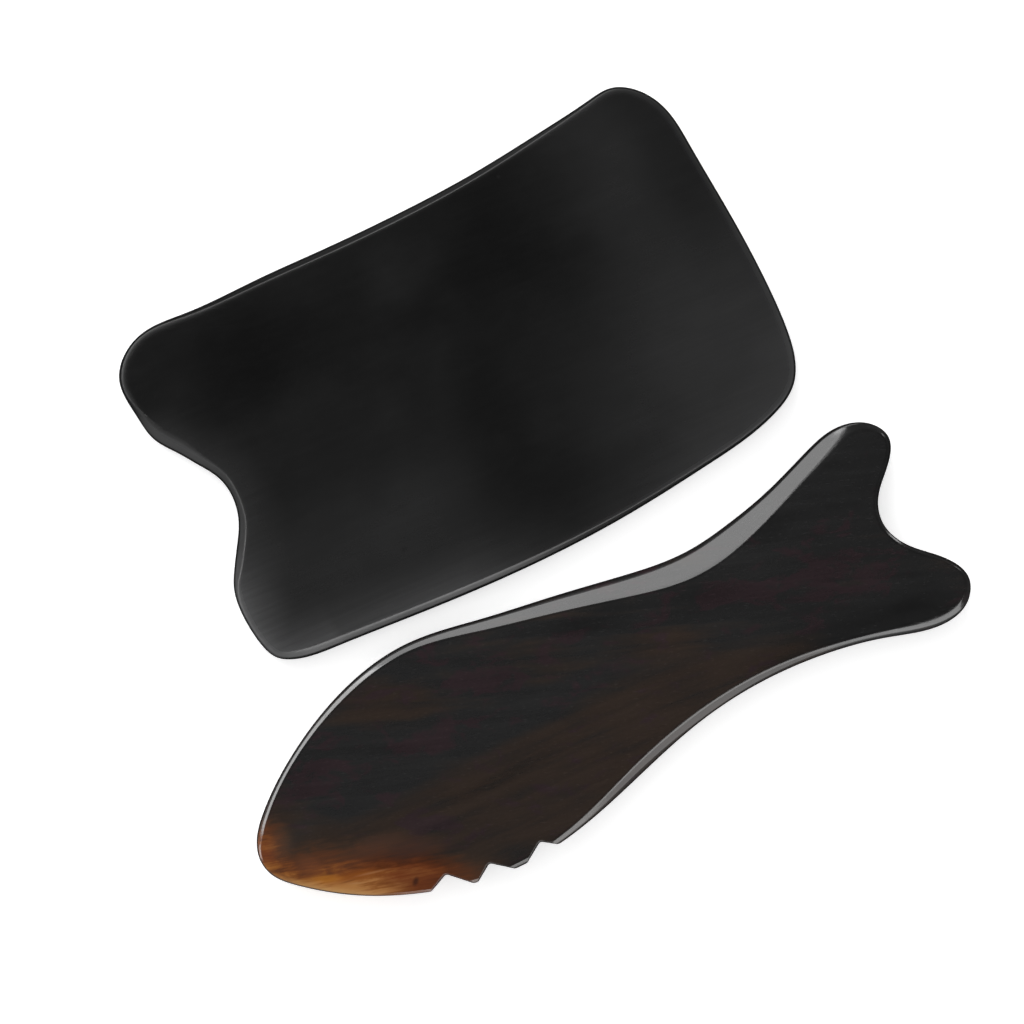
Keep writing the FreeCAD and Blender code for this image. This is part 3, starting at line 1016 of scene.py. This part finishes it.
def fish_material():
    """Dark horn with brown and wine-red streaks that runs to amber along the chin."""
    material, graph, shader = horn("fish_horn")
    inset = polish(graph, shader, 0.13, 0.06, 0.7)
    border = graph.attribute("border")
    x, y, _ = graph.xyz()
    noise = noises(graph, FISH_NOISES)
    colour = dark_horn(graph, x, y, border, noise)
    colour = amber_over(graph, colour, x, y, inset, noise)
    for *spot, amount, shade in AMBER_MARKS:
        colour = graph.mix(graph.product(graph.spot(*spot), amount), colour, shade)
    # Painted shade: a dark line where the shoulder turns over, and darker at the very edge.
    turned = graph.math("ABSOLUTE", graph.math("SUBTRACT", inset, 0.15))
    turned = graph.product(graph.span(turned, 0.10, 0.24, 0.9, 0.0), graph.span(x, -45, -53, 0.4, 1.0))
    turned = graph.math("MAXIMUM", turned, graph.span(inset, 0.3, 0.12, 0.0, 0.5))
    colour = graph.mix(turned, colour, (0.006, 0.004, 0.003))
    graph.plug(colour, shader.inputs["Base Color"])
    return material


plate.data.materials.append(plate_material())
fish.data.materials.append(fish_material())

# ---- Floor, light and camera ----

FLOOR_RADIUS = 40.0
FLOOR_CORNERS = 96
FLOOR_DEPTH = 0.00004

floor_mesh = bpy.data.meshes.new("floor")
around = []
for angle in np.linspace(0, 2 * math.pi, FLOOR_CORNERS, endpoint=False):
    around.append((FLOOR_RADIUS * math.cos(angle), FLOOR_RADIUS * math.sin(angle), -FLOOR_DEPTH))
floor_mesh.from_pydata(around, [], [tuple(range(FLOOR_CORNERS))])
floor = bpy.data.objects.new("floor", floor_mesh)
bpy.context.scene.collection.objects.link(floor)
floor_material = bpy.data.materials.new("floor_white")
floor_material.use_nodes = True
floor_shader = floor_material.node_tree.nodes["Principled BSDF"]
floor_shader.inputs["Base Color"].default_value = (0.92, 0.92, 0.92, 1)
floor_shader.inputs["Roughness"].default_value = 0.9
floor_shader.inputs["Specular IOR Level"].default_value = 0.0
floor_shader.inputs["Emission Color"].default_value = (1, 1, 1, 1)
floor_shader.inputs["Emission Strength"].default_value = 0.55
floor_mesh.materials.append(floor_material)
floor.visible_glossy = False

world = bpy.data.worlds.new("studio")
bpy.context.scene.world = world
world.use_nodes = True
sky = Graph(world.node_tree)
direction = sky.node("ShaderNodeTexCoord").outputs["Generated"]
split = sky.node("ShaderNodeSeparateXYZ")
sky.plug(direction, split.inputs[0])
level = sky.math("MULTIPLY_ADD", split.outputs[2], 0.5, 0.5)

# The studio is pale all round but for a dark side at +X, and darker overhead.
pale = sky.ramp(level, (
    (0.0, grey(0.01)),
    (0.2, grey(0.03)),
    (0.32, grey(0.12)),
    (0.42, grey(0.50)),
    (0.5, grey(0.92)),
    (0.58, grey(0.85)),
    (0.72, grey(0.50)),
    (0.90, grey(0.16)),
    (0.97, grey(0.09)),
    (1.0, grey(0.07)),
))
dim = sky.ramp(level, (
    (0.0, grey(0.01)),
    (0.4, grey(0.04)),
    (0.5, grey(0.20)),
    (0.6, grey(0.20)),
    (0.90, grey(0.14)),
    (0.97, grey(0.09)),
    (1.0, grey(0.07)),
))
glow = sky.mix(sky.span(split.outputs[0], 0.15, 0.75), pale, dim)
background = sky.node("ShaderNodeBackground")
sky.plug(glow, background.inputs["Color"])
background.inputs["Strength"].default_value = 1.0
sky.plug(background.outputs[0], sky.node("ShaderNodeOutputWorld").inputs[0])


def softbox(name, azimuth, elevation, distance, width, height, radiance, glossy=True, diffuse=True):
    """Area light aimed at the middle of the pair. Azimuth is from +X towards +Y."""
    data = bpy.data.lights.new(name, "AREA")
    data.shape = "RECTANGLE"
    data.size, data.size_y = width, height
    data.energy = radiance * math.pi * width * height
    light = bpy.data.objects.new(name, data)
    bpy.context.scene.collection.objects.link(light)
    a, e = math.radians(azimuth), math.radians(elevation)
    away = Vector((math.cos(a) * math.cos(e), math.sin(a) * math.cos(e), math.sin(e)))
    light.location = centre + away * distance
    light.rotation_mode = "QUATERNION"
    light.rotation_quaternion = away.to_track_quat("Z", "Y")
    light.visible_glossy = glossy
    light.visible_diffuse = diffuse
    light.visible_camera = False
    return light


# Name, azimuth and elevation in degrees, distance, width and height in metres, and radiance. The
# cards are seen only in reflections, and the fills never are.
softbox("key", 88, 34, 1.6, 1.3, 0.75, 3.9)
softbox("key_fill", 88, 34, 1.6, 1.3, 0.75, 0.5, glossy=False)
softbox("left_card", 129, 50, 1.6, 1.0, 0.42, 8.3, diffuse=False)
softbox("belly_card", -88, 47, 1.6, 1.2, 0.36, 4.6, diffuse=False)
softbox("lower_card", -88, 28, 1.6, 1.5, 0.70, 2.15, diffuse=False)
softbox("snout_card", 172, 42, 1.6, 0.45, 0.28, 7.0, diffuse=False)
softbox("fork_card", 14, 27, 1.6, 0.28, 0.28, 7.0, diffuse=False)
softbox("top", 90, 80, 1.8, 2.6, 2.6, 1.0, glossy=False)

# The camera looks straight down, turned so that the long edges slope as in the photo.
CAMERA_ROLL = 27.4
CAMERA_HEIGHT = 0.4775
AIM_SHIFT = Vector((0.68, -1.25, 0)) * MM
AIM_HEIGHT = 0.005

camera_data = bpy.data.cameras.new("camera")
camera_data.lens = 100
camera_data.sensor_width = 36
camera_data.clip_start = 0.01
camera_data.clip_end = 50
camera = bpy.data.objects.new("camera", camera_data)
bpy.context.scene.collection.objects.link(camera)
roll = math.radians(CAMERA_ROLL)
right = Vector((math.cos(roll), -math.sin(roll), 0))
up = Vector((math.sin(roll), math.cos(roll), 0))
turn = Matrix((right, up, Vector((0, 0, 1)))).transposed().to_4x4()
aim = centre + AIM_SHIFT
aim.z = AIM_HEIGHT
camera.matrix_world = Matrix.Translation(aim + Vector((0, 0, CAMERA_HEIGHT))) @ turn
bpy.context.scene.camera = camera
bpy.context.scene.view_settings.view_transform = "Standard"
bpy.context.scene.view_settings.look = "None"
